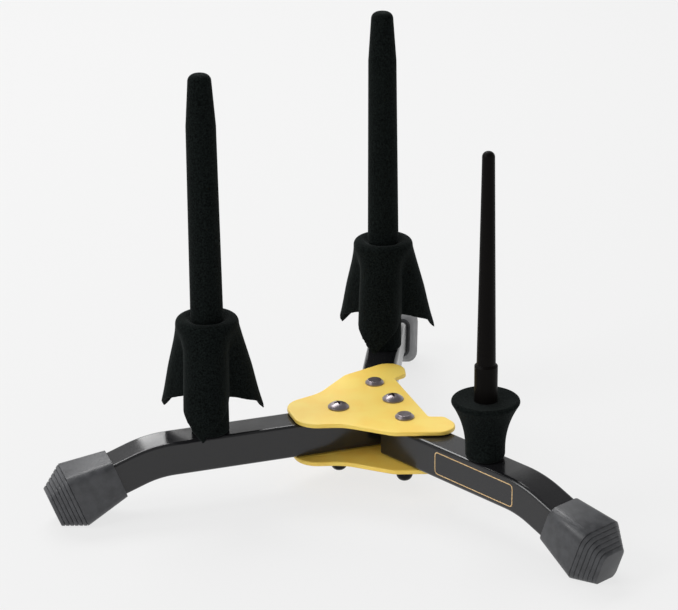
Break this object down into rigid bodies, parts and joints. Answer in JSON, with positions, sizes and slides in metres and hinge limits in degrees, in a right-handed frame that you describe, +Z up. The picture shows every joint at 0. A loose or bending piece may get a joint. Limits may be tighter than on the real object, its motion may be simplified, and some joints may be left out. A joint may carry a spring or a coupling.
{
  "type": "folding instrument stand",
  "caption": "Low folding stand with splayed tube legs on a hub of two plates, upright felted pegs with petal collars for flutes or clarinets, and a slim piccolo peg.",
  "frame": {"origin": "on the floor, under the middle of the outer box of the whole stand", "axes": "+Z up; the clamped leg points along -X; the two swing legs open towards +X, the back one at +Y and the right one at -Y"},
  "size_m": [0.2768, 0.35, 0.2507],
  "materials": {
    "plate_paint": "satin powder coat",
    "leg_paint": "gloss black enamel",
    "foot_rubber": "matt moulded rubber",
    "black_flock": "short velvet flock",
    "black_plastic": "smooth moulded",
    "dark_nickel": "black nickel plated",
    "black_nut": "black oxide",
    "bare_brass": "machined",
    "zinc_steel": "zinc plated"
  },
  "bodies": {
    "hub": {"back_cap_nut": "black_nut", "back_pivot_bolt": "dark_nickel", "back_pivot_washer_lower": "zinc_steel", "back_pivot_washer_upper": "zinc_steel", "fixed_leg": "leg_paint", "fixed_leg_foot": "foot_rubber", "fixed_leg_insert": "bare_brass", "hub_cap_nut": "black_nut", "hub_crush_sleeve": "zinc_steel", "hub_screw": "dark_nickel", "hub_washer_lower": "zinc_steel", "hub_washer_upper": "zinc_steel", "lower_plate": "plate_paint", "right_cap_nut": "black_nut", "right_pivot_bolt": "dark_nickel", "right_pivot_washer_lower": "zinc_steel", "right_pivot_washer_upper": "zinc_steel", "tail_cap_nut": "black_nut", "tail_crush_sleeve": "zinc_steel", "tail_screw": "dark_nickel", "tail_washer_lower": "zinc_steel", "tail_washer_upper": "zinc_steel", "upper_plate": "plate_paint"},
    "right_swing_leg": {"right_leg": "leg_paint", "right_leg_foot": "foot_rubber", "right_leg_insert": "bare_brass", "right_pivot_bush": "bare_brass"},
    "back_swing_leg": {"back_leg": "leg_paint", "back_leg_foot": "foot_rubber", "back_leg_insert": "bare_brass", "back_pivot_bush": "bare_brass"},
    "fixed_peg_unit": {"fixed_peg_stud": "zinc_steel", "fixed_petal_collar": "black_flock", "fixed_tall_peg": "black_flock"},
    "back_peg_unit": {"back_peg_stud": "zinc_steel", "back_petal_collar": "black_flock", "back_tall_peg": "black_flock"},
    "piccolo_peg_unit": {"piccolo_cup": "black_flock", "piccolo_peg": "black_plastic", "right_peg_stud": "zinc_steel"}
  },
  "joints": [
    {"name": "right_leg_fold", "type": "hinge", "parent": "hub", "child": "right_swing_leg", "pos_m": [0.06383, -0.0258, 0.03195], "axis": [0, 0, -1], "range_deg": [0, 114]},
    {"name": "back_leg_fold", "type": "hinge", "parent": "hub", "child": "back_swing_leg", "pos_m": [0.06383, 0.0258, 0.03195], "axis": [0, 0, 1], "range_deg": [0, 100]},
    {"name": "fixed_peg_lift", "type": "slide", "parent": "hub", "child": "fixed_peg_unit", "axis": [0, 0, 1], "range_m": [0, 0.04]},
    {"name": "back_peg_lift", "type": "slide", "parent": "back_swing_leg", "child": "back_peg_unit", "axis": [0, 0, 1], "range_m": [0, 0.04]},
    {"name": "piccolo_peg_lift", "type": "slide", "parent": "right_swing_leg", "child": "piccolo_peg_unit", "axis": [0, 0, 1], "range_m": [0, 0.04]}
  ]
}
